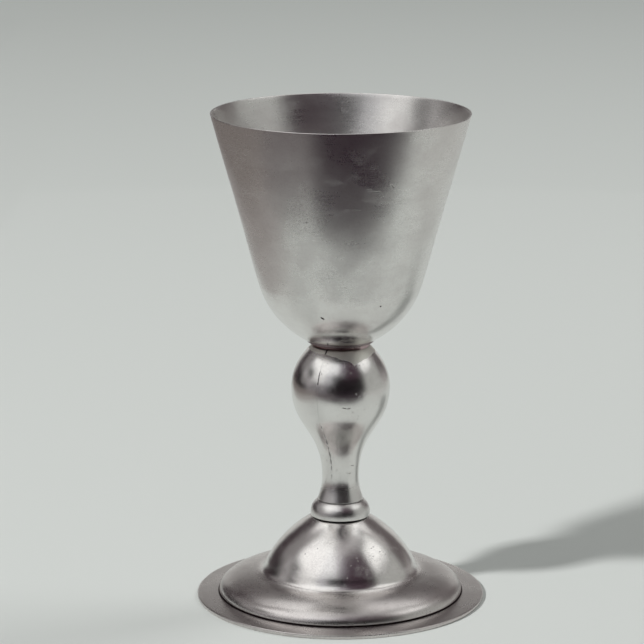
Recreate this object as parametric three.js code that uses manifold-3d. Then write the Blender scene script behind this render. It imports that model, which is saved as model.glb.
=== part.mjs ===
// A pewter communion chalice, built up as it comes apart on a bench: cup, plate, ring, two stem halves,
// collar and foot, all threaded on one tie rod and pulled together by a nut inside the foot.
// Millimetres, +Z up, standing on z = 0 with the turning axis on x = y = 0.
import * as THREE from "three";
import { mergeVertices } from "three/addons/utils/BufferGeometryUtils.js";
import Module from "manifold-3d";

const wasm = await Module();
wasm.setup();

// ---- Driving dimensions ----

// Overall
const height = 216;
const rimRadius = 56.2;
const flangeRadius = 63.3;
const knopRadius = 21.6;

// Cup: a straight flaring wall that runs into a round bottom, with a flat seat turned under it
const wallSlope = 0.27;            // radians from upright
const coneBottomZ = 142;
const bottomArcRadius = 41;
const cupWall = 1.25;
const rimWidth = 0.75;
const seatRadius = 14.5;
const cupFloor = 1.4;              // thickness of the floor over the seat

// Stack on the tie rod: heights of the joints between the pieces
const plateThickness = 0.9;
const neckRingHeight = 1.65;
const neckRingBottomZ = 113.7;
const collarTopZ = 44.2;
const domeTopZ = 37.7;
const flangeTopZ = 2.2;

// Neck ring
const neckRingRadius = 12.6;
const neckRegisterRadius = 10.8;   // the narrower steps above and below it
const neckRegister = 0.4;

// Stem: from the waist one curve swells to the widest place of the knop, and another closes in over it
const knopCentreZ = 95;
const knopTopRadius = 12.65;
const knopBelow = 18;              // how far below and above its widest place the knop keeps its width
const knopAbove = 5;
const shoulderRadius = 19.85;      // where the closing curve bends in
const shoulderZ = 106.9;
const waistRadius = 8.05;
const waistZ = 52.5;
const waistAbove = 25.6;           // how far above and below its narrowest place the waist keeps its width
const waistBelow = 5.8;
const stemFootRadius = 10.05;
const stemFlareRadius = 9.4;       // where the flare under the waist bends out
const stemFlareZ = 47.6;
const stemWall = 2;
const stemSeamGap = 0.3;
const seamTurn = THREE.MathUtils.degToRad(28);   // the seam, from -Y towards -X

// Collar
const collarTopRadius = 10.3;
const collarRadius = 13.17;
const collarBulgeZ = 40.4;         // up to here it keeps nearly its full width
const collarNeckRadius = 11.7;     // and here it bends in to its top
const collarNeckZ = 42.1;

// Foot
const domeTopRadius = 10;
const domeArcRadius = 50;
const domeEdgeRadius = 34.6;
const domeEdgeZ = 11.6;
const cushionRadius = 53.7;
const cushionBulgeZ = 7.6;         // the cushion's side stands nearly upright to here
const cushionCrownRadius = 47;     // and its crown bends over here to meet the dome
const cushionCrownZ = 10.3;
const footWall = 1.6;
const flangeInnerRadius = 50.5;
const flangeEdgeThickness = 1.7;

// Tie rod, washer and nut: a quarter-inch rod of twenty threads to the inch
const inch = 25.4;
const rodRadius = inch / 8;
const threadPitch = inch / 20;
const turnsToFreeNut = 8;
const rodHoleRadius = rodRadius + 0.3;
const nutBoreRadius = rodRadius + 0.065;
const washerRadius = 9;
const washerThickness = 1.2;
const nutAcrossFlats = 12;
const nutHeight = 5.5;

// Facets round the axis, in multiples of four so that the radii stay true on both axes
const wideFacets = 48;
const narrowFacets = 32;
const smallFacets = 24;

// ---- Heights worked out from them ----

const plateBottomZ = neckRingBottomZ + neckRingHeight;
const seatZ = plateBottomZ + plateThickness;
const footInsideTopZ = domeTopZ - footWall;
const nutTopZ = footInsideTopZ - washerThickness;
const rodEndZ = nutTopZ - turnsToFreeNut * threadPitch;

// ---- Helpers ----

// A metal like pewter; lighter or darker, smoother or rougher, from piece to piece.
function metal(color, roughness) {
  return new THREE.MeshStandardMaterial({ color, roughness, metalness: 1 });
}

// Turns an outline of [radius, height] points about the +Z axis.
function turned(outline, facets) {
  return new THREE.LatheGeometry(outline, facets).rotateX(Math.PI / 2);
}

// The points along a path; every curve in it is split into the same number of steps.
function pointsOf(path, steps) {
  return path.getPoints(steps);
}

// A flat or stepped ring from its corners, listed anticlockwise in the half plane.
function ringOutline(corners) {
  return [...corners, corners[0]].map(([radius, z]) => new THREE.Vector2(radius, z));
}

// Closes a path on its first point, so that it can be turned into a ring.
function closed(points) {
  return [...points, points[0].clone()];
}

function toManifold(geometry) {
  const bare = geometry.clone();
  bare.deleteAttribute("normal");
  bare.deleteAttribute("uv");
  const welded = mergeVertices(bare, 1e-4);
  return new wasm.Manifold(new wasm.Mesh({
    numProp: 3,
    vertProperties: new Float32Array(welded.attributes.position.array),
    triVerts: new Uint32Array(welded.index.array),
  }));
}

function toGeometry(solid) {
  const mesh = solid.getMesh();
  const geometry = new THREE.BufferGeometry();
  geometry.setAttribute("position", new THREE.BufferAttribute(mesh.vertProperties, 3));
  geometry.setIndex(new THREE.BufferAttribute(mesh.triVerts, 1));
  geometry.computeVertexNormals();
  return geometry;
}

function piece(name, geometry, material) {
  const mesh = new THREE.Mesh(geometry, material);
  mesh.name = name;
  return mesh;
}

// ---- Cup ----

// Where the straight wall meets the round bottom, and the centre of that round.
const coneBottomRadius = rimRadius - (height - coneBottomZ) * Math.tan(wallSlope);
const bottomCentre = new THREE.Vector2(
  coneBottomRadius - bottomArcRadius * Math.cos(wallSlope),
  coneBottomZ + bottomArcRadius * Math.sin(wallSlope),
);

function bowl() {
  const steps = 4;
  const insideRadius = bottomArcRadius - cupWall;
  const floorZ = seatZ + cupFloor;
  const seatAngle = -Math.acos((seatRadius - bottomCentre.x) / bottomArcRadius);
  // Inside, the round is left at this radius for a shallow dished floor.
  const dishRadius = 20;
  const dishAngle = -Math.acos((dishRadius - bottomCentre.x) / insideRadius);
  const dishZ = bottomCentre.y + insideRadius * Math.sin(dishAngle);
  const dishSlope = -1 / Math.tan(dishAngle);
  const outline = new THREE.Path();
  outline.moveTo(0, seatZ);
  outline.lineTo(seatRadius, seatZ);
  outline.absarc(bottomCentre.x, bottomCentre.y, bottomArcRadius, seatAngle, -wallSlope, false);
  outline.lineTo(rimRadius, height);
  outline.lineTo(rimRadius - rimWidth, height);
  outline.absarc(bottomCentre.x, bottomCentre.y, insideRadius, -wallSlope, dishAngle, true);
  outline.quadraticCurveTo(dishRadius - (dishZ - floorZ) / dishSlope, floorZ, 0, floorZ);
  return piece("bowl", turned(pointsOf(outline, steps), wideFacets), metal(0x8f8c88, 0.32));
}

// ---- Stack between the cup and the foot ----

function bowlPlate() {
  const outline = ringOutline([
    [rodHoleRadius, plateBottomZ],
    [seatRadius - 0.2, plateBottomZ],
    [seatRadius, plateBottomZ + 0.2],
    [seatRadius, seatZ],
    [rodHoleRadius, seatZ],
  ]);
  return piece("bowl_plate", turned(outline, smallFacets), metal(0x7f7c78, 0.35));
}

function neckRing() {
  const outline = ringOutline([
    [rodHoleRadius, neckRingBottomZ],
    [neckRegisterRadius, neckRingBottomZ],
    [neckRegisterRadius, neckRingBottomZ + neckRegister],
    [neckRingRadius, neckRingBottomZ + neckRegister],
    [neckRingRadius, plateBottomZ - neckRegister],
    [neckRegisterRadius, plateBottomZ - neckRegister],
    [neckRegisterRadius, plateBottomZ],
    [rodHoleRadius, plateBottomZ],
  ]);
  return piece("neck_ring", turned(outline, smallFacets), metal(0x8a8683, 0.3));
}

// The outside of the stem, from its foot up to the top of the knop.
function stemOutside(path) {
  path.moveTo(stemFootRadius, collarTopZ);
  path.bezierCurveTo(stemFlareRadius, stemFlareZ, waistRadius, waistZ - waistBelow, waistRadius, waistZ);
  path.bezierCurveTo(
    waistRadius, waistZ + waistAbove,
    knopRadius, knopCentreZ - knopBelow,
    knopRadius, knopCentreZ,
  );
  path.bezierCurveTo(
    knopRadius, knopCentreZ + knopAbove,
    shoulderRadius, shoulderZ,
    knopTopRadius, neckRingBottomZ,
  );
}

// The hollow inside it, from the top wall down to the bottom wall.
function stemInside(path) {
  const insideRadius = knopRadius - stemWall;
  const insideTopZ = neckRingBottomZ - stemWall;
  const waistInside = waistRadius - stemWall;
  path.lineTo(rodHoleRadius, neckRingBottomZ);
  path.lineTo(rodHoleRadius, insideTopZ);
  path.lineTo(knopTopRadius - stemWall, insideTopZ);
  path.bezierCurveTo(
    shoulderRadius - stemWall, shoulderZ - stemWall,
    insideRadius, knopCentreZ + knopAbove,
    insideRadius, knopCentreZ,
  );
  path.bezierCurveTo(
    insideRadius, knopCentreZ - knopBelow,
    waistInside, waistZ + waistAbove,
    waistInside, waistZ,
  );
  path.lineTo(waistInside, collarTopZ + stemWall);
  path.lineTo(rodHoleRadius, collarTopZ + stemWall);
  path.lineTo(rodHoleRadius, collarTopZ);
}

// One half of the stem: the whole turned stem, cut by a block that stands half the seam's gap off the
// plane through the axis. A side of -1 is the half towards -X, and +1 the half towards +X.
function stemHalf(name, side) {
  const steps = 5;
  const path = new THREE.Path();
  stemOutside(path);
  stemInside(path);
  const whole = toManifold(turned(closed(pointsOf(path, steps)), narrowFacets));
  const block = new THREE.BoxGeometry(2 * knopRadius, 4 * knopRadius, height);
  block.translate(side * (knopRadius + stemSeamGap / 2), 0, height / 2);
  block.rotateZ(-seamTurn);
  const half = whole.intersect(toManifold(block));
  return piece(name, toGeometry(half), metal(0x8b8885, 0.24));
}

function collar() {
  const steps = 7;
  const path = new THREE.Path();
  path.moveTo(rodHoleRadius, domeTopZ);
  path.lineTo(collarRadius - 0.3, domeTopZ);
  path.lineTo(collarRadius, domeTopZ + 0.3);
  path.bezierCurveTo(collarRadius, collarBulgeZ, collarNeckRadius, collarNeckZ, collarTopRadius, collarTopZ);
  path.lineTo(rodHoleRadius, collarTopZ);
  return piece("collar", turned(closed(pointsOf(path, steps)), narrowFacets), metal(0x8d8a86, 0.3));
}

// ---- Foot ----

// The dome is one round whose centre lies past the axis, so that it passes through its top and its edge.
function domeCentre() {
  const top = new THREE.Vector2(domeTopRadius, domeTopZ);
  const edge = new THREE.Vector2(domeEdgeRadius, domeEdgeZ);
  const middle = top.clone().add(edge).multiplyScalar(0.5);
  const chord = edge.clone().sub(top);
  const sagitta = Math.sqrt(domeArcRadius ** 2 - chord.lengthSq() / 4);
  const inward = new THREE.Vector2(chord.y, -chord.x).normalize();
  return middle.add(inward.multiplyScalar(sagitta));
}

function footDome() {
  const steps = 4;
  const centre = domeCentre();
  const insideRadius = domeArcRadius - footWall;
  const topAngle = Math.atan2(domeTopZ - centre.y, domeTopRadius - centre.x);
  const edgeAngle = Math.atan2(domeEdgeZ - centre.y, domeEdgeRadius - centre.x);
  const insideTopAngle = Math.asin((footInsideTopZ - centre.y) / insideRadius);
  const insideEdge = cushionRadius - footWall;
  const path = new THREE.Path();
  path.moveTo(rodHoleRadius, footInsideTopZ);
  path.lineTo(washerRadius, footInsideTopZ);
  path.absarc(centre.x, centre.y, insideRadius, insideTopAngle, edgeAngle, true);
  path.bezierCurveTo(
    cushionCrownRadius - footWall, cushionCrownZ - footWall,
    insideEdge, cushionBulgeZ - footWall / 2,
    insideEdge, flangeTopZ,
  );
  path.lineTo(cushionRadius, flangeTopZ);
  path.bezierCurveTo(
    cushionRadius, cushionBulgeZ,
    cushionCrownRadius, cushionCrownZ,
    domeEdgeRadius, domeEdgeZ,
  );
  path.absarc(centre.x, centre.y, domeArcRadius, edgeAngle, topAngle, false);
  path.lineTo(rodHoleRadius, domeTopZ);
  return piece("foot_dome", turned(closed(pointsOf(path, steps)), wideFacets), metal(0x85827e, 0.26));
}

function footFlange() {
  const outline = ringOutline([
    [flangeInnerRadius, 0],
    [flangeRadius - 0.3, 0],
    [flangeRadius, 0.4],
    [flangeRadius, flangeEdgeThickness - 0.4],
    [flangeRadius - 0.4, flangeEdgeThickness],
    [cushionRadius + 0.4, flangeTopZ],
    [flangeInnerRadius, flangeTopZ],
  ]);
  return piece("foot_flange", turned(outline, wideFacets), metal(0x94918c, 0.34));
}

// ---- Tie rod, washer and nut ----

function tieRod() {
  const chamfer = 0.8;
  const outline = [
    [0, rodEndZ],
    [rodRadius - chamfer, rodEndZ],
    [rodRadius, rodEndZ + chamfer],
    [rodRadius, seatZ],
    [0, seatZ],
  ].map(([radius, z]) => new THREE.Vector2(radius, z));
  return piece("tie_rod", turned(outline, smallFacets), metal(0x8a7a52, 0.4));
}

function footWasher() {
  const outline = ringOutline([
    [rodHoleRadius, nutTopZ],
    [washerRadius - 0.2, nutTopZ],
    [washerRadius, nutTopZ + 0.2],
    [washerRadius, footInsideTopZ],
    [rodHoleRadius, footInsideTopZ],
  ]);
  return piece("foot_washer", turned(outline, smallFacets), metal(0x8f7f55, 0.4));
}

// A hexagonal prism with a round hole, trimmed by a turned blank so that its corners are chamfered.
function footNut() {
  const cornerRadius = nutAcrossFlats / Math.sqrt(3);
  const chamfer = 0.6;
  const hexagon = new THREE.Shape();
  for (let corner = 0; corner < 6; corner += 1) {
    const angle = (corner * Math.PI) / 3;
    const x = cornerRadius * Math.cos(angle);
    const y = cornerRadius * Math.sin(angle);
    if (corner === 0) hexagon.moveTo(x, y);
    else hexagon.lineTo(x, y);
  }
  hexagon.closePath();
  const prism = new THREE.ExtrudeGeometry(hexagon, { depth: nutHeight, bevelEnabled: false });
  const blank = turned(ringOutline([
    [nutBoreRadius, 0],
    [cornerRadius - chamfer, 0],
    [cornerRadius, chamfer],
    [cornerRadius, nutHeight - chamfer],
    [cornerRadius - chamfer, nutHeight],
    [nutBoreRadius, nutHeight],
  ]), smallFacets);
  const nut = piece("foot_nut", toGeometry(toManifold(prism).intersect(toManifold(blank))), metal(0x96855a, 0.38));
  nut.position.z = nutTopZ - nutHeight;
  return nut;
}

// ---- Chalice ----

const chalice = new THREE.Group();
chalice.add(
  bowl(),
  bowlPlate(),
  neckRing(),
  stemHalf("stem_left_half", -1),
  stemHalf("stem_right_half", 1),
  collar(),
  footDome(),
  footFlange(),
  tieRod(),
  footWasher(),
  footNut(),
);

export default chalice;
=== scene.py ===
"""The looks of a pewter communion chalice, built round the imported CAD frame.

Outlines are in millimetres, as [radius, height] points in the frame of the part; meshes are in metres.
Every turned piece is a fine lathe mesh on the CAD piece's own heights and radii, worn by hand and use.
"""
import math

import bpy
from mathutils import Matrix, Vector, noise


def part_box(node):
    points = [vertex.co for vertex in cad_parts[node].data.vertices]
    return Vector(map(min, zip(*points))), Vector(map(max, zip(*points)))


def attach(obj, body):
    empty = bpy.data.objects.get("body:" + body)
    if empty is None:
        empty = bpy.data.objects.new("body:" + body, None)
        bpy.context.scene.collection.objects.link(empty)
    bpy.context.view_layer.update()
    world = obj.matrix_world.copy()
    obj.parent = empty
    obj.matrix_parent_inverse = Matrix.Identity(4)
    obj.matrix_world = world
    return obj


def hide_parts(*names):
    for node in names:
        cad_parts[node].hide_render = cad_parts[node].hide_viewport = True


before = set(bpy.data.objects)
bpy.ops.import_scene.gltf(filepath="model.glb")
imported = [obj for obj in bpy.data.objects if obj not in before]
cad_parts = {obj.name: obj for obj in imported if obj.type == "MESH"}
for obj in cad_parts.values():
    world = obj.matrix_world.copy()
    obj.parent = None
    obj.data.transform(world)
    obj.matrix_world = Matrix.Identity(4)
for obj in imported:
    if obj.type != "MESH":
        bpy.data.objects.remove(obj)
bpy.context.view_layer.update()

MM = 0.001
SEAM_TURN = math.radians(28)         # the stem's seam, from -Y towards -X


# ---- Sizes read from the frame, in millimetres ----

def bottom(node):
    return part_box(node)[0].z / MM


def top(node):
    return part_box(node)[1].z / MM


def radius(node):
    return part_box(node)[1].x / MM


RIM_Z = top("bowl")
RIM_R = radius("bowl")
SEAT_Z = bottom("bowl")
PLATE_Z = bottom("bowl_plate")
PLATE_R = radius("bowl_plate")
NECK_Z = bottom("neck_ring")
NECK_R = radius("neck_ring")
KNOP_R = -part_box("stem_left_half")[0].x / MM
STEM_Z = bottom("stem_left_half")
COLLAR_R = radius("collar")
DOME_TOP_Z = bottom("collar")
CUSHION_R = radius("foot_dome")
FLANGE_TOP_Z = bottom("foot_dome")
FLANGE_R = radius("foot_flange")
INSIDE_TOP_Z = top("foot_washer")
NUT_TOP_Z = bottom("foot_washer")
NUT_BOTTOM_Z = bottom("foot_nut")
WASHER_R = radius("foot_washer")
ROD_R = radius("tie_rod")
ROD_END_Z = bottom("tie_rod")
HOLE_R = ROD_R + 0.3                 # the hole for the rod through the other pieces


# ---- Outlines ----

ON_AXIS = 1e-6                       # a radius smaller than this is on the axis
SAME = 1e-4                          # points closer than this are one point
SHARP_TURN = math.radians(25)        # an outline that turns more than this has a corner to wear down


def arc(centre, size, start, end, steps):
    """Points of a round, or of an ellipse when size is a pair, from one angle to another."""
    wide, high = size if isinstance(size, tuple) else (size, size)
    points = []
    for step in range(steps + 1):
        angle = start + (end - start) * step / steps
        points.append((centre[0] + wide * math.cos(angle), centre[1] + high * math.sin(angle)))
    return points


def bezier(a, b, c, d, steps):
    """Points of a smooth curve from a to d that b and c pull on."""
    points = []
    for step in range(steps + 1):
        t = step / steps
        s = 1 - t
        weights = (s ** 3, 3 * s * s * t, 3 * s * t * t, t ** 3)
        points.append(tuple(sum(w * p[k] for w, p in zip(weights, (a, b, c, d))) for k in (0, 1)))
    return points


def without_repeats(points):
    kept = [points[0]]
    for point in points[1:]:
        if math.dist(point, kept[-1]) > SAME:
            kept.append(point)
    return kept


def finely(points, longest):
    """The same outline with its long straight stretches cut into equal steps."""
    result = [points[0]]
    for start, end in zip(points, points[1:]):
        count = max(1, math.ceil(math.dist(start, end) / longest))
        for step in range(1, count + 1):
            t = step / count
            result.append((start[0] + (end[0] - start[0]) * t, start[1] + (end[1] - start[1]) * t))
    return result


def worn_corner(before, point, after, size):
    """The point by itself, or a small round in its place if the outline turns sharply there."""
    here = Vector(point)
    back = Vector(before) - here
    ahead = Vector(after) - here
    if math.pi - back.angle(ahead) < SHARP_TURN:
        return [point]
    reach = min(size, back.length * 0.45, ahead.length * 0.45)
    first = here + back.normalized() * reach
    last = here + ahead.normalized() * reach
    corner = []
    for t in (0, 0.25, 0.5, 0.75, 1):
        x, z = first * (1 - t) ** 2 + here * 2 * t * (1 - t) + last * t ** 2
        corner.append((x, z))
    return corner


def rounded(points, size, closed=True):
    """The outline with each sharp corner worn to a small round of about the given size."""
    points = without_repeats(points)
    if closed and math.dist(points[0], points[-1]) < SAME:
        points = points[:-1]
    count = len(points)
    result = []
    for index, point in enumerate(points):
        at_end = not closed and index in (0, count - 1)
        if at_end or point[0] < ON_AXIS:
            result.append(point)
        else:
            result += worn_corner(points[index - 1], point, points[(index + 1) % count], size)
    if closed:
        result.append(result[0])
    return result


# ---- Turned meshes ----

SHARP_EDGE = math.radians(38)


def hand_worn(angle, r, z, wave, seed):
    """How far a hand-finished surface strays from true, in millimetres: slow waves round and up it."""
    slow = noise.noise((math.cos(angle) * 1.1 + seed, math.sin(angle) * 1.1, z * 0.02))
    quick = noise.noise((math.cos(angle) * 2.7, math.sin(angle) * 2.7 + seed, z * 0.07 + r * 0.05))
    return wave * (slow + 0.45 * quick)


def lathe_points(rings, angles, worn):
    """Every point with its painted shade, and its number by ring and angle. A ring on the axis is one point.
    """
    verts = []
    painted_shade_and_marks = []
    index = {}
    for row, (r, z) in enumerate(rings):
        for column, angle in enumerate(angles):
            if r < ON_AXIS and column:
                index[row, column] = index[row, 0]
                continue
            index[row, column] = len(verts)
            far, high, black = (r, z, 0.0) if r < ON_AXIS else worn(angle, r, z)
            painted_shade_and_marks.append(black)
            verts.append((far * math.sin(angle) * MM, -far * math.cos(angle) * MM, high * MM))
    return verts, painted_shade_and_marks, index


def lengths_along(outline):
    """How far along the outline each of its points is."""
    lengths = [0.0]
    for start, end in zip(outline, outline[1:]):
        lengths.append(lengths[-1] + math.dist(start, end))
    return lengths


def lathe_faces(outline, index, ring_count, column_count, whole):
    """The faces between rings, and for each corner how far round and how far along the outline it is."""
    lengths = lengths_along(outline)
    faces = []
    maps = []
    for row in range(len(outline) - 1):
        upper = (row + 1) % ring_count
        for column in range(column_count if whole else column_count - 1):
            following = (column + 1) % column_count
            left = column / column_count
            right = (column + 1) / column_count
            face = {}
            face.setdefault(index[row, column], (left, lengths[row]))
            face.setdefault(index[row, following], (right, lengths[row]))
            face.setdefault(index[upper, following], (right, lengths[row + 1]))
            face.setdefault(index[upper, column], (left, lengths[row + 1]))
            if len(face) > 2:
                faces.append(list(face))
                maps.append(list(face.values()))
    return faces, maps


def linked(name, data):
    """A new object in the scene."""
    made = bpy.data.objects.new(name, data)
    bpy.context.scene.collection.objects.link(made)
    return made


def lathe_object(name, verts, painted_shade_and_marks, faces, maps):
    """The mesh as an object, with its map named "turned" and the painted shade in its hollows for the
    material to read.
    """
    mesh = bpy.data.meshes.new(name)
    mesh.from_pydata(verts, [], faces)
    flat = [value for corners in maps for pair in corners for value in pair]
    mesh.uv_layers.new(name="turned").data.foreach_set("uv", flat)
    mesh.attributes.new("painted_shade_and_marks", "FLOAT", "POINT").data.foreach_set("value", painted_shade_and_marks)
    mesh.validate()
    mesh.shade_smooth()
    mesh.set_sharp_from_angle(angle=SHARP_EDGE)
    return linked(name, mesh)


def turned(name, outline, segments=256, angles=None, wave=0.0, seed=0.0, shape=None):
    """A lathe mesh. With a list of angles it is an open sector, closed at both ends by a flat face.
    shape(angle, r, z) may move a point, and says how much painted shade lies on it."""
    whole = angles is None
    if whole:
        angles = [2 * math.pi * step / segments for step in range(segments)]
    loops_back = math.dist(outline[0], outline[-1]) < SAME
    rings = outline[:-1] if loops_back else outline

    def worn(angle, r, z):
        if wave:
            r += hand_worn(angle, r, z, wave, seed)
        return shape(angle, r, z) if shape else (r, z, 0.0)

    verts, painted_shade_and_marks, index = lathe_points(rings, angles, worn)
    faces, maps = lathe_faces(outline, index, len(rings), len(angles), whole)
    if not whole:
        first_end = [index[row, 0] for row in range(len(rings))]
        last_end = [index[row, len(angles) - 1] for row in range(len(rings))]
        faces += [first_end[::-1], last_end]
        maps += [[(0.0, 0.0)] * len(rings)] * 2
    return lathe_object(name, verts, painted_shade_and_marks, faces, maps)


def in_frame(piece, body, slot, material, *nodes):
    """Gives the piece its material, and hangs it on its body in place of the CAD nodes."""
    piece.data.materials.append(material)
    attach(piece, body)
    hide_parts(*nodes)


# ---- Materials ----

class Nodes:
    """A short way to write a node tree: add a node, set its inputs by name and link what is a socket."""

    def __init__(self, tree):
        self.tree = tree

    def add(self, kind, settings=None, **inputs):
        made = self.tree.nodes.new(kind)
        for key, value in (settings or {}).items():
            setattr(made, key, value)
        for key, value in inputs.items():
            self.put(made, key.replace("_", " "), value)
        return made

    def put(self, made, key, value):
        """key is a socket's name, or its number written as text."""
        socket = made.inputs[int(key)] if key.isdigit() else made.inputs[key]
        if isinstance(value, bpy.types.NodeSocket):
            self.tree.links.new(value, socket)
        else:
            socket.default_value = value

    def math(self, operation, a, b=0.0, clamp=False):
        made = self.add("ShaderNodeMath", {"operation": operation, "use_clamp": clamp})
        self.put(made, "0", a)
        self.put(made, "1", b)
        return made.outputs[0]

    def between(self, value, low, high, to_low=0.0, to_high=1.0):
        """value from low..high brought smoothly to to_low..to_high."""
        made = self.add("ShaderNodeMapRange", {"interpolation_type": "SMOOTHSTEP"})
        for key, given in zip(("Value", "From Min", "From Max", "To Min", "To Max"),
                              (value, low, high, to_low, to_high)):
            self.put(made, key, given)
        return made.outputs["Result"]

    def noise(self, vector, scale, detail=2.0, roughness=0.5):
        made = self.add("ShaderNodeTexNoise", Vector=vector, Scale=scale, Detail=detail, Roughness=roughness)
        return made.outputs["Fac"]

    def stretched(self, vector, scale, turn=(0.0, 0.0, 0.0)):
        made = self.add("ShaderNodeMapping", Vector=vector, Rotation=turn, Scale=scale)
        return made.outputs["Vector"]

    def blend(self, amount, a, b):
        made = self.add("ShaderNodeMix", {"data_type": "RGBA"})
        self.put(made, "0", amount)
        self.put(made, "6", a)
        self.put(made, "7", b)
        return made.outputs[2]


def empty_material(name):
    material = bpy.data.materials.new(name)
    material.use_nodes = True
    material.node_tree.nodes.clear()
    return material, Nodes(material.node_tree)


def angle_round(n, apart):
    """The angle round the axis in radians, from -Y towards +X."""
    return n.math("ARCTAN2", apart.outputs["X"], n.math("MULTIPLY", apart.outputs["Y"], -1.0))


# Where painted shade darkens the colour, in millimetres: from one height to another, out to a radius. They
# are the crevices under the collar, under the stem's foot, and where the cushion stands on the flange
PAINTED_SHADE_CREVICES = (
    (DOME_TOP_Z - 1.4, DOME_TOP_Z, COLLAR_R - 0.3),
    (STEM_Z - 0.35, STEM_Z - 0.05, 10.9),
    (FLANGE_TOP_Z - 0.2, FLANGE_TOP_Z + 0.6, CUSHION_R + 0.6),
)
# Near-black colour of the painted shade in crevices and hollows, also used for the marks
CREVICE_SHADE_COLOR = (0.040, 0.024, 0.028)


def painted_crevice_shade(n, mm, height):
    """Painted shade where pieces meet: the shade the mesh carries in its hollows, and the crevices."""
    flat = n.add("ShaderNodeVectorMath", {"operation": "LENGTH"})
    n.put(flat, "0", n.stretched(mm, (1, 1, 0)))
    out = flat.outputs["Value"]
    total = n.add("ShaderNodeAttribute", {"attribute_name": "painted_shade_and_marks"}).outputs["Fac"]
    for low, high, reach in PAINTED_SHADE_CREVICES:
        above = n.between(height, low, low + 0.2)
        below = n.between(height, high, high + 0.2, 1.0, 0.0)
        within = n.between(out, reach - 0.3, reach + 0.1, 1.0, 0.0)
        crevice = n.math("MULTIPLY", n.math("MULTIPLY", above, below), within)
        total = n.math("MAXIMUM", total, crevice)
    return total


# Dents and scratches, and two painted reflections, in millimetres and degrees: azimuth from -Y towards +X,
# radius, height, length, width, slant down to the right, and how dark
CUP_MARKS_AND_PAINTED_REFLECTION = (
    (-14.1, 31.5, 132.4, 2.3, 0.9, 35, 0.95),
    (29.8, 34.2, 137.5, 0.9, 0.8, 0, 0.8),
    (25.7, 49.6, 192.1, 3.0, 0.8, 50, 0.55),
    (16.6, 49.0, 190.2, 6.5, 0.5, 8, 0.4),
    (13.9, 49.3, 191.3, 2.6, 0.4, -6, 0.3),
    (8.0, 46.9, 182.2, 3.6, 0.45, 4, 0.35),
    (-20.8, 47.3, 184.3, 2.8, 0.45, -12, 0.35),
    (-18.5, 45.2, 176.4, 1.0, 0.8, 0, 0.45),
    # These two are a painted reflection: dark patches, cut in like dents, where the bowl's underside mirrors
    # the knop's dark middle
    (10, 19.4, 119.2, 7.5, 2.6, -10, 0.8),
    (6, 20.9, 120.3, 5.0, 2.6, -10, 0.45),
)
STEM_MARKS = (
    (4.5, 21.2, 90.5, 2.0, 0.45, 14, 0.6),
    (9.8, 21.2, 90.3, 2.0, 0.45, -12, 0.6),
    (18.7, 21.5, 96.5, 1.2, 0.5, 60, 0.5),
    (22.5, 21.5, 95.2, 0.8, 0.7, 0, 0.6),
    (47, 20.6, 90.6, 1.4, 0.4, 10, 0.4),
    (62, 12.2, 41.6, 0.7, 0.6, 0, 0.9),
    (52, 12.5, 41.0, 0.6, 0.5, 0, 0.8),
    (70, 12.7, 40.2, 0.6, 0.5, 0, 0.9),
    (44, 12.6, 40.4, 0.5, 0.4, 0, 0.7),
    (38, 8.3, 60.8, 2.2, 0.35, 6, 0.5),
    (30, 8.3, 57.4, 1.8, 0.35, -5, 0.45),
)


def marks(n, mm, places):
    """1 inside each mark of the list, the painted reflections too, times how dark it is."""
    total = 0.0
    for azimuth, out, height, length, width, slant, black in places:
        turn = math.radians(azimuth)
        centre = (out * math.sin(turn), -out * math.cos(turn), height)
        near = n.add("ShaderNodeMapping", {"vector_type": "TEXTURE"}, Vector=mm, Location=centre,
                     Rotation=(0, math.radians(slant), turn), Scale=(length / 2, 1.0, width / 2))
        size = n.add("ShaderNodeVectorMath", {"operation": "LENGTH"})
        n.put(size, "0", near.outputs["Vector"])
        total = n.math("MAXIMUM", total, n.between(size.outputs["Value"], 0.5, 1.1, black, 0.0))
    return total


# Painted reflection on the knop's top: a light, dull, ragged V round the neck, where the knop mirrors the
# bowl's underside
PAINTED_REFLECTION_COLOR = (0.86, 0.85, 0.79)
PAINTED_V_TIP_AT = math.radians(20)
PAINTED_V_TIP_Z = 107.9                  # the lowest place of the painted reflection on the knop's top
PAINTED_V_REACH = 0.8                    # radians either way from the tip to where its edge is level
PAINTED_V_LEFT = 4.4                     # how far the edge has risen there on each side, in millimetres
PAINTED_V_RIGHT = 3.2
PAINTED_V_RAGGED = 0.2


def painted_reflection_v(n, apart, mottle):
    """1 on the painted reflection round the neck: a ragged V whose tip hangs in front, a little to the right.
    """
    off = n.math("SUBTRACT", angle_round(n, apart), PAINTED_V_TIP_AT)
    off = n.math("MULTIPLY", off, 1 / PAINTED_V_REACH)
    left = n.math("SQRT", n.math("MULTIPLY", off, -1.0, clamp=True))
    right = n.math("SQRT", n.math("MULTIPLY", off, 1.0, clamp=True))
    rise = n.math("ADD", n.math("MULTIPLY", left, PAINTED_V_LEFT), n.math("MULTIPLY", right, PAINTED_V_RIGHT))
    ragged = n.between(mottle, 0.3, 0.7, PAINTED_V_TIP_Z - PAINTED_V_RAGGED, PAINTED_V_TIP_Z + PAINTED_V_RAGGED)
    above = n.math("SUBTRACT", apart.outputs["Z"], n.math("ADD", rise, ragged))
    return n.between(above, -0.12, 0.12)


# Hairlines: slant in degrees, then how long and how far apart they run, in millimetres
HAIRLINES = ((12, 16, 0.9), (-28, 12, 0.8), (64, 14, 1.1))
HAIRLINES_ROUND = 30.0               # millimetres round for each radian, near a usual radius


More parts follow.
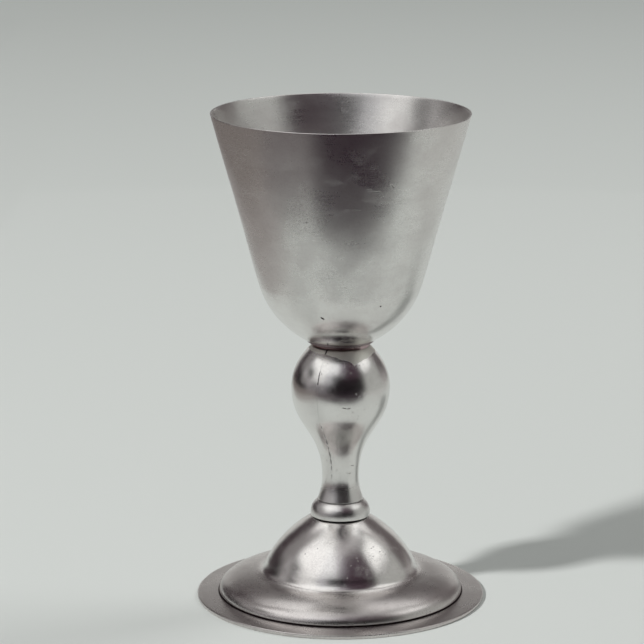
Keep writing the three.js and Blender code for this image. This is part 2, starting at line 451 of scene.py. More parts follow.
def scratches(n, apart, run):
    """Fine hairlines that slant over the surface: the thin level lines of stretched noise, in patches."""
    around = n.math("MULTIPLY", angle_round(n, apart), HAIRLINES_ROUND)
    flat = n.add("ShaderNodeCombineXYZ", X=around, Y=run.outputs["Y"]).outputs[0]
    total = 0.0
    for slant, length, spacing in HAIRLINES:
        near = n.add("ShaderNodeMapping", {"vector_type": "TEXTURE"}, Vector=flat,
                     Rotation=(0, 0, math.radians(slant)), Scale=(length, spacing, 1.0))
        off = n.math("ABSOLUTE", n.math("SUBTRACT", n.noise(near.outputs[0], 1.0, 0.0), 0.5))
        total = n.math("MAXIMUM", total, n.between(off, 0.0, 0.012, 1.0, 0.0))
    return n.math("MULTIPLY", total, n.between(n.noise(flat, 0.12, 2.0), 0.5, 0.62))


def pitting(n, mm):
    """Small round pits, gathered in loose patches."""
    cells = n.add("ShaderNodeTexVoronoi", Vector=mm, Scale=0.42, Randomness=1.0).outputs["Distance"]
    pit = n.between(cells, 0.05, 0.13, 1.0, 0.0)
    return n.math("MULTIPLY", pit, n.between(n.noise(mm, 0.09, 2.0), 0.52, 0.6))


def patterns(n, mm, apart, run):
    """What covers old turned metal, each from 0 to 1. Scales are how many of each go in a millimetre."""
    along = n.add("ShaderNodeCombineXYZ", X=apart.outputs["X"], Y=apart.outputs["Y"], Z=run.outputs["Y"])
    return {
        "turning": n.noise(n.stretched(along.outputs[0], (0.03, 0.03, 1.6)), 1.0, 3.0, 0.6),
        "fine": n.noise(mm, 2.4, 2.0, 0.6),
        "patch": n.noise(mm, 0.055, 4.0, 0.55),
        "small_patch": n.noise(mm, 0.35, 3.0, 0.6),
        "cloudy": n.noise(n.stretched(mm, (0.12, 0.12, 0.3)), 1.0, 5.0, 0.7),
        "speckle": n.noise(mm, 1.1, 3.0, 0.7),
        "scratch": scratches(n, apart, run),
        "pit": pitting(n, mm),
    }


def tarnish(n, over, bloom, grain, pits):
    """How far the colour has gone from clean metal to dark."""
    shade = n.math("MULTIPLY", over["pit"], 0.6 * pits)
    stains = (("patch", 0.38, 0.72, 0.5 * bloom), ("small_patch", 0.5, 0.8, 0.25 * bloom),
              ("cloudy", 0.42, 0.72, 0.3 * bloom), ("speckle", 0.4, 0.7, 0.3 * grain))
    for pattern, starts, full, dark in stains:
        shade = n.math("ADD", shade, n.between(over[pattern], starts, full, 0.0, dark))
    return shade


def dullness(n, over, roughness, lines, grain, bloom):
    """The roughness, a little uneven."""
    dull = roughness
    uneven = (("patch", 0.3, 0.75, -0.06 * bloom, 0.08 * bloom),
              ("fine", 0.25, 0.75, -0.03 * grain, 0.03 * grain),
              ("turning", 0.3, 0.7, -0.03 * lines, 0.03 * lines))
    for pattern, starts, full, least, most in uneven:
        dull = n.math("ADD", dull, n.between(over[pattern], starts, full, least, most))
    return dull


def relief(n, layers):
    """Bumps laid one on another. Each layer is its height, its strength, its depth in metres, and whether
    it is cut in."""
    normal = None
    for height, strength, depth, cut_in in layers:
        bump = n.add("ShaderNodeBump", {"invert": cut_in}, Strength=strength, Distance=depth, Height=height)
        if normal:
            n.put(bump, "Normal", normal)
        normal = bump.outputs[0]
    return normal


def whereabouts(n):
    """Where a point is in millimetres, the same by axis, and its place round and along the outline."""
    mm = n.stretched(n.add("ShaderNodeTexCoord").outputs["Object"], (1000, 1000, 1000))
    apart = n.add("ShaderNodeSeparateXYZ", Vector=mm)
    turned_map = n.add("ShaderNodeUVMap", {"uv_map": "turned"}).outputs["UV"]
    run = n.add("ShaderNodeSeparateXYZ", Vector=turned_map)
    return mm, apart, run


def metal(name, color, dark, roughness, lines=1.0, grain=1.0, pits=1.0, bloom=1.0, band=None, places=(),
          solder=False):
    """Old turned metal: turning lines, fine grain, scratches, pits, a patchy dull bloom, and painted shade in
    crevices and hollows. band is two heights and how much rougher and darker it is below the first, fading
    out at the second; places are its marks. With solder, a light, dull V is painted on the knop's top as a
    reflection."""
    material, n = empty_material(name)
    mm, apart, run = whereabouts(n)
    height = apart.outputs["Z"]
    over = patterns(n, mm, apart, run)
    mark = marks(n, mm, places)
    painted_shade_and_marks = n.math("MAXIMUM", painted_crevice_shade(n, mm, height), mark)

    shade = tarnish(n, over, bloom, grain, pits)
    dull = dullness(n, over, roughness, lines, grain, bloom)
    if band:
        low, high, rougher, darker = band
        shade = n.math("ADD", shade, n.between(height, low, high, darker, 0.0))
        dull = n.math("ADD", dull, n.between(height, low, high, rougher, 0.0))
    base = n.blend(n.math("MINIMUM", shade, 1.0), (*color, 1), (*dark, 1))
    # Painted reflection: the light, duller V on the knop's top
    if solder:
        painted_v = painted_reflection_v(n, apart, over["small_patch"])
        base = n.blend(painted_v, base, (*PAINTED_REFLECTION_COLOR, 1))
        dull = n.math("ADD", dull, n.math("MULTIPLY", painted_v, 0.26))
    # Painted shade: crevices, hollows and the marks' dark patches take the near-black colour and turn duller
    base = n.blend(painted_shade_and_marks, base, (*CREVICE_SHADE_COLOR, 1))
    dull = n.math("ADD", dull, n.math("MULTIPLY", painted_shade_and_marks, 0.35), clamp=True)

    layers = [(over["turning"], 0.55 * lines, 0.00003, False), (over["fine"], 0.5 * grain, 0.00004, False),
              (over["scratch"], 0.3, 0.00004, True), (over["pit"], 0.8 * pits, 0.00012, True)]
    if places:
        layers.append((mark, 0.9, 0.0002, True))
    shader = n.add("ShaderNodeBsdfPrincipled", Metallic=1.0, Roughness=dull, Normal=relief(n, layers))
    n.put(shader, "Base Color", base)
    n.add("ShaderNodeOutputMaterial", Surface=shader.outputs[0])
    return material


PEWTER = (0.80, 0.79, 0.77)
PEWTER_DARK = (0.52, 0.48, 0.47)
SATIN = metal("satin_pewter", PEWTER, PEWTER_DARK, 0.29, lines=0.3, grain=0.55, bloom=0.45, pits=0.15,
              band=(SEAT_Z + 6, SEAT_Z + 32, -0.11, 0.0), places=CUP_MARKS_AND_PAINTED_REFLECTION)
# solder=True paints a light reflection in a V on the knop's top
POLISHED = metal("polished_pewter", PEWTER, PEWTER_DARK, 0.225, lines=0.15, grain=0.5, bloom=0.25,
                 band=(STEM_Z + 3, STEM_Z + 9, 0.09, 0.0), places=STEM_MARKS, solder=True)
COLLAR = metal("collar_pewter", PEWTER, PEWTER_DARK, 0.30, lines=0.2, grain=0.6, bloom=0.4)
FOOT = metal("foot_pewter", (0.82, 0.80, 0.78), PEWTER_DARK, 0.215, lines=0.2, grain=0.6, bloom=0.4,
             band=(10.5, 13.5, 0.07, 0.45))
# Painted shade: darker copies of the pewter for the plate and neck ring, which sit in the shade under the
# bowl; the neck ring's copy is tinted brown
SHADED_PEWTER = metal("dark_pewter", (0.48, 0.41, 0.42), (0.24, 0.18, 0.19), 0.34)
SHADED_NECK_PEWTER = metal("shaded_brown_pewter", (0.62, 0.51, 0.51), (0.30, 0.19, 0.20), 0.32)
BRASS = metal("aged_brass", (0.56, 0.44, 0.22), (0.24, 0.18, 0.10), 0.4, lines=0.5)


# ---- Cup ----

WALL_SLOPE = 0.27                    # radians that the straight side leans out from upright
CUP_WALL = 1.25
RIM_WIDTH = 0.75
CONE_BOTTOM_Z = 142                  # where the straight side meets the rounded bottom
BOTTOM_ROUND = 41                    # the radius of the rounded bottom
SEAT_R = 14.5                        # the flat turned under the cup


def make_bowl():
    cone_bottom_r = RIM_R - (RIM_Z - CONE_BOTTOM_Z) * math.tan(WALL_SLOPE)
    centre = (cone_bottom_r - BOTTOM_ROUND * math.cos(WALL_SLOPE),
              CONE_BOTTOM_Z + BOTTOM_ROUND * math.sin(WALL_SLOPE))
    inside = BOTTOM_ROUND - CUP_WALL
    seat_angle = -math.acos((SEAT_R - centre[0]) / BOTTOM_ROUND)
    dish_r = 20
    floor_z = SEAT_Z + 1.4
    dish_angle = -math.acos((dish_r - centre[0]) / inside)
    outline = [(0, SEAT_Z), (SEAT_R, SEAT_Z)]
    outline += arc(centre, BOTTOM_ROUND, seat_angle, -WALL_SLOPE, 40)
    outline += [(RIM_R, RIM_Z), (RIM_R - RIM_WIDTH, RIM_Z)]
    outline += arc(centre, inside, -WALL_SLOPE, dish_angle, 36)
    start = outline[-1]
    outline += bezier(start, (17, floor_z + 0.9), (9, floor_z), (0, floor_z), 16)
    outline = finely(rounded(outline, 0.3, closed=False), 1.6)
    return turned("bowl", outline, 320, wave=0.22, seed=3.1)


in_frame(make_bowl(), "chalice", "satin_pewter", SATIN, "bowl")


# ---- Between the cup and the stem ----

def make_plate():
    """A thin disc whose rim is dressed to a blunt knife edge just above its underside."""
    lip = 0.28
    outline = [
        (HOLE_R, PLATE_Z),
        (PLATE_R - 0.9, PLATE_Z),
        (PLATE_R, PLATE_Z + lip),
        (PLATE_R - 0.35, PLATE_Z + 0.52),
        (PLATE_R - 0.45, SEAT_Z),
        (HOLE_R, SEAT_Z),
        (HOLE_R, PLATE_Z),
    ]
    return turned("bowl_plate", finely(rounded(outline, 0.08), 0.8), 160, wave=0.05, seed=5)


def make_neck_ring():
    """Two narrow steps with a hollow between them, which solder fills on the right."""
    narrow = NECK_R - 1.8
    step = 0.4
    hollow = 0.9
    outline = [
        (HOLE_R, NECK_Z),
        (narrow, NECK_Z),
        (narrow, NECK_Z + step),
        (NECK_R, NECK_Z + step),
        (NECK_R - hollow, NECK_Z + step + 0.2),
        (NECK_R - hollow, PLATE_Z - step - 0.2),
        (NECK_R, PLATE_Z - step),
        (narrow, PLATE_Z - step),
        (narrow, PLATE_Z),
        (HOLE_R, PLATE_Z),
        (HOLE_R, NECK_Z),
    ]

    def soldered(angle, r, z):
        """The hollow is full of solder from about 45 to 75 degrees to the right."""
        turn = math.degrees(angle) + 12 * noise.noise((z * 1.5, 4.0, 0.0))
        full = min(1.0, max(0.0, (turn - 30) / 14)) * min(1.0, max(0.0, (86 - turn) / 12))
        if full > 0 and r > HOLE_R + 1:
            r += max(0.0, NECK_R + 0.1 - r) * full
        return r, z, 0.0

    return turned("neck_ring", finely(rounded(outline, 0.1), 0.4), 192, wave=0.06, seed=8, shape=soldered)


# The plate and neck ring take the darker pewter copies: painted shade under the bowl
in_frame(make_plate(), "chalice", "dark_pewter", SHADED_PEWTER, "bowl_plate")
in_frame(make_neck_ring(), "chalice", "dark_pewter", SHADED_NECK_PEWTER, "neck_ring")


# ---- Stem: two cast halves soldered along an upright seam ----

KNOP_Z = 95
KNOP_TOP_R = 12.65
KNOP_BELOW = 18                      # how far below and above its widest place the knop keeps its width
KNOP_ABOVE = 5
SHOULDER = (19.85, 106.9)            # where the curve that closes the knop bends in
WAIST_R = 8.05
WAIST_Z = 54
WAIST_ABOVE = 22                     # how far above and below its narrowest place the waist keeps its width
WAIST_BELOW = 4
STEM_FLARE = (9.0, 47.4)
STEM_FOOT_R = 10.05
STEM_WALL = 2

# Where the seam's solder has gone: middle height, half length and depth
SEAM_GAPS = ((113.4, 1.0, 0.9), (104.8, 0.3, 0.22), (103.4, 0.25, 0.3), (102.1, 0.3, 0.2), (100.6, 0.4, 0.3),
             (80.2, 0.8, 0.2), (75.5, 0.7, 0.2), (72.4, 0.9, 0.35), (69.4, 0.5, 0.3), (66.2, 1.1, 0.5),
             (63.1, 0.8, 0.6), (59.8, 0.9, 0.3), (56.4, 0.5, 0.25))
SEAM_GAP_WIDTH = 0.22


def stem_outline():
    inside_r = KNOP_R - STEM_WALL
    inside_top = NECK_Z - STEM_WALL
    waist_in = WAIST_R - STEM_WALL
    outline = bezier((STEM_FOOT_R, STEM_Z), STEM_FLARE, (WAIST_R, WAIST_Z - WAIST_BELOW),
                     (WAIST_R, WAIST_Z), 16)
    outline += bezier((WAIST_R, WAIST_Z), (WAIST_R, WAIST_Z + WAIST_ABOVE), (KNOP_R, KNOP_Z - KNOP_BELOW),
                      (KNOP_R, KNOP_Z), 48)
    outline += bezier((KNOP_R, KNOP_Z), (KNOP_R, KNOP_Z + KNOP_ABOVE), SHOULDER, (KNOP_TOP_R, NECK_Z), 34)
    outline += [(HOLE_R, NECK_Z), (HOLE_R, inside_top), (KNOP_TOP_R - STEM_WALL, inside_top)]
    shoulder_in = (SHOULDER[0] - STEM_WALL, SHOULDER[1] - STEM_WALL)
    outline += bezier((KNOP_TOP_R - STEM_WALL, inside_top), shoulder_in, (inside_r, KNOP_Z + KNOP_ABOVE),
                      (inside_r, KNOP_Z), 12)
    outline += bezier((inside_r, KNOP_Z), (inside_r, KNOP_Z - KNOP_BELOW), (waist_in, WAIST_Z + WAIST_ABOVE),
                      (waist_in, WAIST_Z), 14)
    outline += [(waist_in, STEM_Z + STEM_WALL), (HOLE_R, STEM_Z + STEM_WALL), (HOLE_R, STEM_Z)]
    outline += [(STEM_FOOT_R, STEM_Z)]
    return finely(rounded(outline, 0.25), 1.2)


def half_turn(start):
    """Angles over half a turn, closer together near the seam at each end and not quite meeting it."""
    count = 120
    gap = 0.0012
    even = [start + gap + (math.pi - 2 * gap) * step / count for step in range(count + 1)]
    near = (0.003, 0.007, 0.012, 0.018)
    return sorted(even + [start + gap + d for d in near] + [start + math.pi - gap - d for d in near])


def make_stem_half(name, side, seed):
    """side is -1 for the half towards -X and +1 for the half towards +X."""
    start = -SEAM_TURN if side > 0 else math.pi - SEAM_TURN

    def open_seam(angle, r, z):
        """The solder is nearly level along most of the seam, and has gone where SEAM_GAPS says."""
        off = min(abs(angle - start), abs(start + math.pi - angle)) * r
        if off > 2 or r < HOLE_R + 1:
            return r, z, 0.0
        level = 0.05 + 0.03 * noise.noise((z * 0.5, seed, 0.0))
        gone = 0.0
        for middle, half, depth in SEAM_GAPS:
            ragged = 0.8 + 0.6 * noise.noise((z * 1.1, middle, 0.0))
            gone = max(gone, depth * ragged * math.exp(-((z - middle) / half) ** 2))
        hole = max(0.0, gone) * math.exp(-(off / SEAM_GAP_WIDTH) ** 2)
        deep = level * math.exp(-off / 0.16) + hole
        # The third value is painted shade: the colour darkens in the holes where the seam's solder has gone
        return r - deep, z, min(0.9, 3.0 * hole)

    return turned(name, stem_outline(), angles=half_turn(start), wave=0.13, seed=1.7, shape=open_seam)


in_frame(make_stem_half("stem_left_half", -1, 4.0), "chalice", "polished_pewter", POLISHED, "stem_left_half")
in_frame(make_stem_half("stem_right_half", 1, 9.0), "chalice", "polished_pewter", POLISHED, "stem_right_half")


# ---- Collar ----

DOME_TOP_R = 10                      # the flat that the collar sits on


def make_collar():
    """A cushion-shaped collar. Its skirt hangs a little below its seat, close over the dome."""
    top_r = 10.35
    skirt = 0.75
    outline = [
        (HOLE_R, DOME_TOP_Z),
        (DOME_TOP_R, DOME_TOP_Z),
        (COLLAR_R - 1.0, DOME_TOP_Z - 0.2),
        (COLLAR_R - 0.5, DOME_TOP_Z - skirt),
        (COLLAR_R - 0.15, DOME_TOP_Z - skirt),
    ]
    outline += bezier((COLLAR_R - 0.1, DOME_TOP_Z - skirt + 0.3), (COLLAR_R + 0.15, 40.3), (12.0, 42.4),
                      (top_r, STEM_Z - 0.45), 24)
    outline += [(top_r - 0.6, STEM_Z - 0.35), (top_r - 0.6, STEM_Z), (HOLE_R, STEM_Z), (HOLE_R, DOME_TOP_Z)]
    return turned("collar", finely(rounded(outline, 0.15), 0.7), 192, wave=0.1, seed=12)


in_frame(make_collar(), "chalice", "polished_pewter", COLLAR, "collar")


# ---- Foot ----

DOME_ROUND = 50
DOME_EDGE = (34.6, 11.6)
FOOT_WALL = 1.6


def dome_centre():
    top_point = Vector((DOME_TOP_R, DOME_TOP_Z))
    edge = Vector(DOME_EDGE)
    chord = edge - top_point
    reach = math.sqrt(DOME_ROUND ** 2 - chord.length_squared / 4)
    inward = Vector((chord.y, -chord.x)).normalized()
    return (top_point + edge) / 2 + inward * reach


def cushion_and_dome(centre, edge_angle, top_angle):
    """The outside from the flange up: the cushion, a soft fillet where it meets the dome, and the dome."""
    cushion = bezier((CUSHION_R, FLANGE_TOP_Z), (CUSHION_R, 7.6), (47, 10.3), DOME_EDGE, 40)
    dome = arc(centre, DOME_ROUND, edge_angle, top_angle, 48)
    fillet = 4.6
    before = [point for point in cushion if math.dist(point, DOME_EDGE) > fillet]
    after = [point for point in dome if math.dist(point, DOME_EDGE) > fillet]
    return before + bezier(before[-1], DOME_EDGE, DOME_EDGE, after[0], 10) + after


def make_foot_dome():
    centre = dome_centre()
    inside = DOME_ROUND - FOOT_WALL
    top_angle = math.atan2(DOME_TOP_Z - centre.y, DOME_TOP_R - centre.x)
    edge_angle = math.atan2(DOME_EDGE[1] - centre.y, DOME_EDGE[0] - centre.x)
    inside_top = math.asin((INSIDE_TOP_Z - centre.y) / inside)
    inside_edge = CUSHION_R - FOOT_WALL
    outline = [(HOLE_R, INSIDE_TOP_Z)]
    outline += arc(centre, inside, inside_top, edge_angle, 30)
    outline += bezier(outline[-1], (45.2, 8.6), (inside_edge, 6.9), (inside_edge, FLANGE_TOP_Z), 24)
    outline += cushion_and_dome(centre, edge_angle, top_angle)
    outline += [(HOLE_R, DOME_TOP_Z), (HOLE_R, INSIDE_TOP_Z)]
    return turned("foot_dome", finely(rounded(outline, 0.35), 1.2), 320, wave=0.2, seed=21)


def make_flange():
    inner = 50.5
    edge_top = 1.7
    outline = [
        (inner, 0),
        (FLANGE_R, 0),
        (FLANGE_R, edge_top),
        (CUSHION_R + 0.4, FLANGE_TOP_Z),
        (inner, FLANGE_TOP_Z),
        (inner, 0),
    ]
    return turned("foot_flange", finely(rounded(outline, 0.45), 0.9), 320, wave=0.15, seed=27)


in_frame(make_foot_dome(), "chalice", "polished_pewter", FOOT, "foot_dome")
in_frame(make_flange(), "chalice", "satin_pewter", FOOT, "foot_flange")


# ---- Tie rod, washer and nut ----

THREAD_PITCH = 1.27
THREAD_DEPTH = 0.7
THREAD_TOP_Z = 44
NUT_ACROSS_FLATS = 12
NUT_BORE_R = ROD_R + 0.065


def make_tie_rod():
    """A plain rod with a rounded point, and a real right-hand thread from its end up through the nut."""
    outline = [(0, ROD_END_Z), (1.6, ROD_END_Z), (2.6, ROD_END_Z + 0.3), (ROD_R, ROD_END_Z + 1.0)]
    outline = finely(outline + [(ROD_R, THREAD_TOP_Z)], THREAD_PITCH / 8)
    outline += [(ROD_R, THREAD_TOP_Z + 10), (ROD_R, SEAT_Z), (0, SEAT_Z)]

    def threaded(angle, r, z):
        turn = (z / THREAD_PITCH - angle / (2 * math.pi)) % 1.0
        groove = max(0.0, abs(2 * turn - 1) * 1.25 - 0.2)
        fades = min(1.0, max(0.0, (THREAD_TOP_Z - z) / THREAD_PITCH))
        depth = THREAD_DEPTH * groove * fades
        # The third value is painted shade in the thread's grooves
        return max(min(r, 1.5), r - depth), z, 0.5 * groove * fades

    return turned("tie_rod", outline, 64, shape=threaded)


def make_washer():
    edge = 0.25
    outline = [
        (HOLE_R, NUT_TOP_Z),
        (WASHER_R - edge, NUT_TOP_Z),
        (WASHER_R, NUT_TOP_Z + edge),
        (WASHER_R, INSIDE_TOP_Z),
        (HOLE_R, INSIDE_TOP_Z),
        (HOLE_R, NUT_TOP_Z),
    ]
    return turned("foot_washer", finely(rounded(outline, 0.15), 0.8), 96, wave=0.03, seed=31)


def make_nut():
    """A hexagon nut: its corners are bevelled above and below where the turned blank cuts them."""
    corner_r = NUT_ACROSS_FLATS / math.sqrt(3)
    face_r = NUT_ACROSS_FLATS / 2
    bevel = 0.55
    sink = 0.5
    outline = [
        (NUT_BORE_R, NUT_BOTTOM_Z + sink),
        (NUT_BORE_R + sink, NUT_BOTTOM_Z),
        (face_r - 0.3, NUT_BOTTOM_Z),
        (corner_r, NUT_BOTTOM_Z + bevel),
        (corner_r, NUT_TOP_Z - bevel),
        (face_r - 0.3, NUT_TOP_Z),
        (NUT_BORE_R + sink, NUT_TOP_Z),
        (NUT_BORE_R, NUT_TOP_Z - sink),
        (NUT_BORE_R, NUT_BOTTOM_Z + sink),
    ]

    def six_flats(angle, r, z):
        """Cuts the round blank back to a hexagon with slightly softened corners."""
        off = (math.degrees(angle) + 30) % 60 - 30
        flat = face_r / math.cos(math.radians(off))
        soft = min(flat, corner_r - 0.12)
        return min(r, soft), z, 0.0

    return turned("foot_nut", finely(rounded(outline, 0.15), 0.5), 240, shape=six_flats)


in_frame(make_tie_rod(), "chalice", "brass", BRASS, "tie_rod")
in_frame(make_washer(), "washer", "brass", BRASS, "foot_washer")
in_frame(make_nut(), "nut", "brass", BRASS, "foot_nut")


# ---- Camera: places in metres, lens and sensor in millimetres ----

CAMERA_PLACE = Vector((0, -1.2954, 0.4233))
CAMERA_AIM = Vector((-0.0081, 0, 0.1238))
CAMERA_SENSOR = 36
CAMERA_LENS = 170.6


def add_camera():
    data = bpy.data.cameras.new("camera")
    data.sensor_width = CAMERA_SENSOR
    data.lens = CAMERA_LENS
    camera = linked("camera", data)
    camera.location = CAMERA_PLACE
    camera.rotation_euler = (CAMERA_AIM - CAMERA_PLACE).to_track_quat("-Z", "Y").to_euler()
    bpy.context.scene.camera = camera


add_camera()


# ---- Studio, in metres and degrees ----

STUDIO_CENTRE = Vector((0, 0, 0.1))


def towards(azimuth, elevation, distance):
    """A point seen from the middle of the chalice; azimuth 0 is -Y, towards the camera, and +90 is +X."""
    a = math.radians(azimuth)
    e = math.radians(elevation)
    direction = Vector((math.sin(a) * math.cos(e), -math.cos(a) * math.cos(e), math.sin(e)))
    return STUDIO_CENTRE + distance * direction


def flat_material(name, color):
    material = bpy.data.materials.new(name)
    material.use_nodes = True
    shader = material.node_tree.nodes["Principled BSDF"]
    shader.inputs["Base Color"].default_value = (*color, 1)
    shader.inputs["Roughness"].default_value = 0.9
    return material


def seen_only_in_metal(made):
    made.visible_camera = False
    made.visible_diffuse = False
    made.visible_shadow = False
    made.visible_transmission = False
    made.visible_volume_scatter = False


# Patches of light in the room: azimuths, elevations, how soft the edges are, all in degrees, and the light
ROOM_DARK = (0.006, 0.0035, 0.005)
ROOM_LIGHT = {
    "window_left": ((-98, -38), (32, 62), 14, (1.18, 1.18, 1.17)),
    "window_low": ((-74, -40), (14, 32), 14, (0.82, 0.82, 0.81)),
    "window_spill": ((-38, -4), (36, 64), 14, (1.0, 1.01, 1.02)),
    "window_low_left": ((-106, -90), (10, 26), 12, (0.16, 0.16, 0.16)),
    "spill_low": ((-40, -20), (14, 36), 16, (0.48, 0.48, 0.50)),
    "window_edge": ((-4, 12), (38, 64), 16, (0.30, 0.28, 0.31)),
    "under_window": ((-88, -30), (-10, 14), 14, (0.18, 0.17, 0.18)),
    "under_window_left": ((-106, -72), (3, 18), 10, (0.24, 0.23, 0.23)),
    "window_right": ((63, 110), (30, 57), 14, (1.16, 1.17, 1.15)),
    "wall_right": ((58, 116), (-30, 26), 12, (0.44, 0.45, 0.43)),
    "wall_right_high": ((112, 128), (26, 58), 12, (0.36, 0.36, 0.35)),
    "wall_right_far": ((116, 140), (-30, 4), 10, (0.26, 0.26, 0.25)),
    "wall_left": ((-128, -96), (14, 60), 12, (0.23, 0.22, 0.22)),
    "front_high": ((10, 58), (26, 62), 10, (0.050, 0.030, 0.041)),
    "corner_left": ((-152, -124), (-30, 44), 12, (0.04, 0.03, 0.033)),
    "corner_right": ((116, 152), (-14, 46), 12, (0.12, 0.105, 0.105)),
    "back_left": ((-200, -150), (-30, 14), 8, (0.60, 0.60, 0.58)),
    "back_right": ((150, 200), (-30, 14), 8, (0.60, 0.60, 0.58)),
    "back_middle_left": ((-200, -150), (14, 44), 8, (0.07, 0.06, 0.06)),
    "back_middle_right": ((150, 200), (14, 44), 8, (0.07, 0.06, 0.06)),
    "back_left_high": ((-200, -122), (44, 64), 8, (1.0, 1.0, 0.99)),
    "back_right_high": ((124, 200), (44, 64), 8, (1.0, 1.0, 0.99)),
    "ceiling_left": ((-200, -24), (62, 95), 12, (1.0, 1.01, 1.0)),
    "ceiling_front": ((-24, 96), (62, 82), 12, (0.46, 0.45, 0.45)),
    "ceiling_right": ((96, 200), (62, 95), 12, (1.0, 1.01, 1.0)),
}


def patch_of_light(n, place, azimuths, elevations, soft):
    """1 inside the patch and 0 outside it."""
    amount = 1.0
    for axis, (low, high) in (("X", azimuths), ("Y", elevations)):
        half = soft / 2
        rise = n.between(place.outputs[axis], low - half, low + half)
        fall = n.between(place.outputs[axis], high - half, high + half, 1.0, 0.0)
        amount = n.math("MULTIPLY", amount, n.math("MULTIPLY", rise, fall))
    return amount


def room_material():
    """Light that depends only on the azimuth and elevation it comes from."""
    material, n = empty_material("room_light")
    degrees = n.add("ShaderNodeUVMap", {"uv_map": "degrees"}).outputs["UV"]
    place = n.add("ShaderNodeSeparateXYZ", Vector=degrees)
    total = ROOM_DARK
    for azimuths, elevations, soft, light in ROOM_LIGHT.values():
        lit = n.add("ShaderNodeVectorMath", {"operation": "SCALE"})
        n.put(lit, "0", light)
        n.put(lit, "Scale", patch_of_light(n, place, azimuths, elevations, soft))
        added = n.add("ShaderNodeVectorMath", {"operation": "ADD"})
        n.put(added, "0", total)
        n.put(added, "1", lit.outputs[0])
        total = added.outputs[0]
    glow = n.add("ShaderNodeEmission", Color=total, Strength=1.0)
    n.add("ShaderNodeOutputMaterial", Surface=glow.outputs[0])
    return material


ROOM_COLUMNS = 72
ROOM_ROWS = 24
ROOM_LOWEST = -30                    # degrees below level
ROOM_SIZE = 1.0


def add_room():
    """A dome round the chalice that only the metal mirrors: the windows, walls and ceiling of the room."""
    verts = []
    degrees = []
    for row in range(ROOM_ROWS + 1):
        for column in range(ROOM_COLUMNS + 1):
            azimuth = -180 + 360 * column / ROOM_COLUMNS
            elevation = ROOM_LOWEST + (90 - ROOM_LOWEST) * row / ROOM_ROWS
            verts.append(towards(azimuth, elevation, ROOM_SIZE))
            degrees.append((azimuth, elevation))
    faces = []
    across = ROOM_COLUMNS + 1
    for row in range(ROOM_ROWS):
        for column in range(ROOM_COLUMNS):
            first = row * across + column
            faces.append((first, first + 1, first + across + 1, first + across))
    mesh = bpy.data.meshes.new("room")
    mesh.from_pydata(verts, [], faces)
    layer = mesh.uv_layers.new(name="degrees")
    for loop in mesh.loops:
        layer.data[loop.index].uv = degrees[loop.vertex_index]
    mesh.materials.append(room_material())
    seen_only_in_metal(linked("room", mesh))


def flat_piece(name, corners, height, material):
    mesh = bpy.data.meshes.new(name)
    mesh.from_pydata([(x, y, height) for x, y in corners], [], [(0, 1, 2, 3)])
    mesh.materials.append(material)
    return linked(name, mesh)


def add_floor():
    size = 6.0
    corners = [(-size, -size), (size, -size), (size, size), (-size, size)]
    flat_piece("floor", corners, 0, flat_material("floor_paper", (0.74, 0.765, 0.74)))


def dark_card(name, corners, material, height=0.002):
    """A flat dark card over the floor that only the metal mirrors: the unlit room past the paper."""
    seen_only_in_metal(flat_piece(name, corners, height, material))


def from_above(material):
    """The same material, clear from underneath."""
    made = material.copy()
    n = Nodes(made.node_tree)
    surface = made.node_tree.nodes["Principled BSDF"]
    output = made.node_tree.nodes["Material Output"]
    side = n.add("ShaderNodeNewGeometry")
    clear = n.add("ShaderNodeBsdfTransparent")
    mixed = n.add("ShaderNodeMixShader")
    n.put(mixed, "0", side.outputs["Backfacing"])
    n.put(mixed, "1", surface.outputs[0])
    n.put(mixed, "2", clear.outputs[0])
    n.put(output, "Surface", mixed.outputs[0])
    return made


FLAG_Z = 0.1


def flag(name, corners, material):
    """A dark card level with the knop. What lies above it mirrors it and what lies below doesn't."""
    dark_card(name, corners, from_above(material), FLAG_Z)


def add_world():
    """Even pale fill for the paper."""
    world = bpy.data.worlds.new("studio")
    bpy.context.scene.world = world
    world.use_nodes = True
    background = world.node_tree.nodes["Background"]
    background.inputs["Color"].default_value = (0.965, 1.0, 0.975, 1)
    background.inputs["Strength"].default_value = 0.20


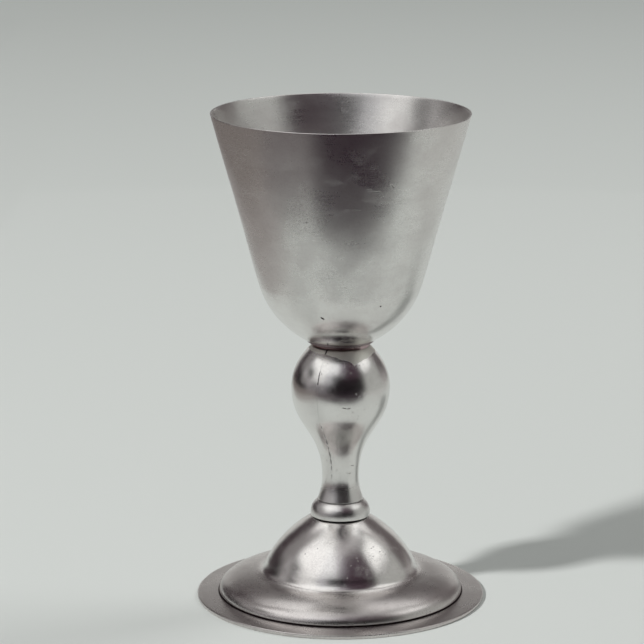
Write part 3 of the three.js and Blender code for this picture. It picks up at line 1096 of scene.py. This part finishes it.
def paper_light(name, azimuth, elevation, distance, size, power):
    """An area light on the paper and its shadows. The metal doesn't mirror it, but mirrors the room."""
    data = bpy.data.lights.new(name, "AREA")
    data.shape = "SQUARE"
    data.size = size
    data.energy = power
    lamp = linked(name, data)
    lamp.location = towards(azimuth, elevation, distance)
    lamp.rotation_euler = (STUDIO_CENTRE - lamp.location).to_track_quat("-Z", "Y").to_euler()
    lamp.visible_glossy = False


add_floor()
add_world()
add_room()
paper_light("key", -58, 40, 5.0, 0.42, 182)
paper_light("right_fill", 118, 46, 3.0, 1.0, 20)

UNLIT = flat_material("unlit_room", (0.015, 0.003, 0.011))
UNLIT_CORNER = flat_material("unlit_corner", (0.085, 0.065, 0.073))
UNLIT_EDGE = flat_material("unlit_edge", (0.17, 0.148, 0.152))
DIM_LEFT = flat_material("dim_left", (0.22, 0.19, 0.18))
DIM_LEFT_NEAR = flat_material("dim_left_near", (0.42, 0.39, 0.38))
DIM_RIGHT = flat_material("dim_right", (0.66, 0.66, 0.64))
dark_card("room_left", [(-2.5, -2.0), (-0.34, -2.0), (-0.34, 2.0), (-2.5, 2.0)], DIM_LEFT)
dark_card("room_left_near", [(-0.34, -2.0), (-0.24, -2.0), (-0.24, 2.0), (-0.34, 2.0)], DIM_LEFT_NEAR)
dark_card("room_right", [(0.34, -2.0), (2.5, -2.0), (2.5, 2.0), (0.34, 2.0)], DIM_RIGHT)
dark_card("room_front", [(-0.30, -2.0), (2.0, -2.0), (0.30, -0.205), (-0.10, -0.235)], UNLIT, 0.003)
dark_card("room_corner", [(-2.0, -2.0), (-0.30, -2.0), (-0.10, -0.235), (-0.34, -0.15)], UNLIT_CORNER, 0.004)
flag("flag_front", [(-0.11, -0.30), (0.24, -0.30), (0.20, -0.085), (-0.07, -0.12)], UNLIT)
flag("flag_far", [(-0.13, -0.40), (0.26, -0.40), (0.24, -0.30), (-0.11, -0.30)], UNLIT_CORNER)
flag("flag_corner", [(-0.5, -0.40), (-0.13, -0.40), (-0.07, -0.12), (-0.18, -0.03)], UNLIT_EDGE)
flag("flag_left", [(-0.5, -0.40), (-0.18, -0.03), (-0.19, 0.6), (-0.5, 0.6)], DIM_LEFT)

bpy.context.scene.view_settings.view_transform = "Standard"
bpy.context.scene.view_settings.look = "None"
